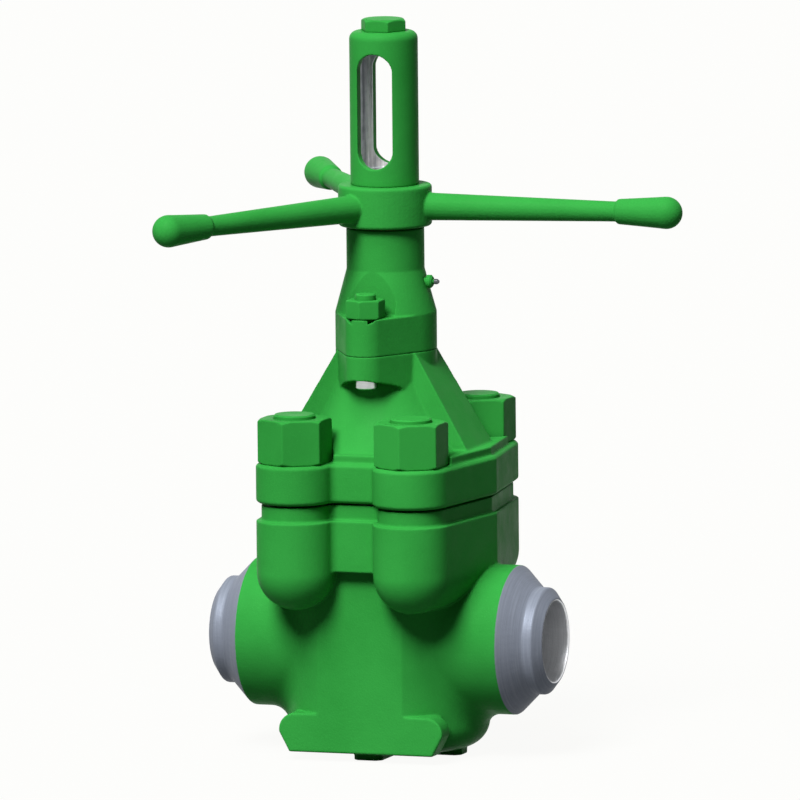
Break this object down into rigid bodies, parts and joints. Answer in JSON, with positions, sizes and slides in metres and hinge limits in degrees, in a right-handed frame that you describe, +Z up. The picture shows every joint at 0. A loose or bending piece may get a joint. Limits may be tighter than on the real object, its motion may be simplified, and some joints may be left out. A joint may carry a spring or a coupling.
{
  "type": "mud gate valve",
  "caption": "Rising-stem slab gate valve with butt-weld ends, four-bolt bonnet, yoke housing, three-arm handwheel and slotted stem protector.",
  "frame": {"origin": "under the stem's axis, on the plane of the base pads", "axes": "+Z up the stem axis, +X along the flow to the right-hand weld end, +Y to the back"},
  "size_m": [0.5167, 0.574, 0.7859],
  "materials": {
    "green_paint": "semi-gloss",
    "bare_steel": "satin",
    "hardened_steel": "ground",
    "stem_steel": "polished",
    "bronze": "machined",
    "seat_rubber": "matte",
    "graphite_packing": "matte"
  },
  "bodies": {
    "valve": {"valve_body": "green_paint", "seat_ring_left": "hardened_steel", "seat_ring_right": "hardened_steel", "seat_seal_left": "seat_rubber", "seat_seal_right": "seat_rubber", "bonnet_gasket": "bare_steel", "bonnet": "green_paint", "packing_ring_1": "graphite_packing", "packing_ring_2": "graphite_packing", "packing_ring_3": "graphite_packing", "packing_gland": "bare_steel", "operator_housing": "green_paint", "housing_stud_front": "green_paint", "housing_stud_back": "green_paint", "housing_nut_front": "green_paint", "housing_nut_back": "green_paint", "lower_bearing_washer": "bare_steel", "upper_bearing_washer": "bare_steel", "bearing_retainer": "bare_steel", "housing_seal": "seat_rubber", "grease_fitting": "green_paint", "bonnet_stud_1": "green_paint", "bonnet_nut_1": "green_paint", "bonnet_stud_2": "green_paint", "bonnet_nut_2": "green_paint", "bonnet_stud_3": "green_paint", "bonnet_nut_3": "green_paint", "bonnet_stud_4": "green_paint", "bonnet_nut_4": "green_paint"},
    "wheel": {"handwheel": "green_paint", "lift_nut": "bronze", "drive_key": "bare_steel", "stem_protector": "green_paint", "protector_cap": "green_paint", "lower_roller_cage": "bare_steel", "upper_roller_cage": "bare_steel"},
    "stem": {"stem": "stem_steel", "gate": "hardened_steel"}
  },
  "joints": [
    {"name": "handwheel_turn", "type": "hinge", "parent": "valve", "child": "wheel", "pos_m": [0, 0, 0.5649], "axis": [0, 0, 1], "range_deg": [0, 4770]},
    {"name": "stem_lift", "type": "slide", "parent": "valve", "child": "stem", "axis": [0, 0, 1], "range_m": [0, 0.1061]}
  ],
  "couplings": [
    {"joint": "stem_lift", "follows": "handwheel_turn", "m_per_rad": 0.0012732}
  ]
}
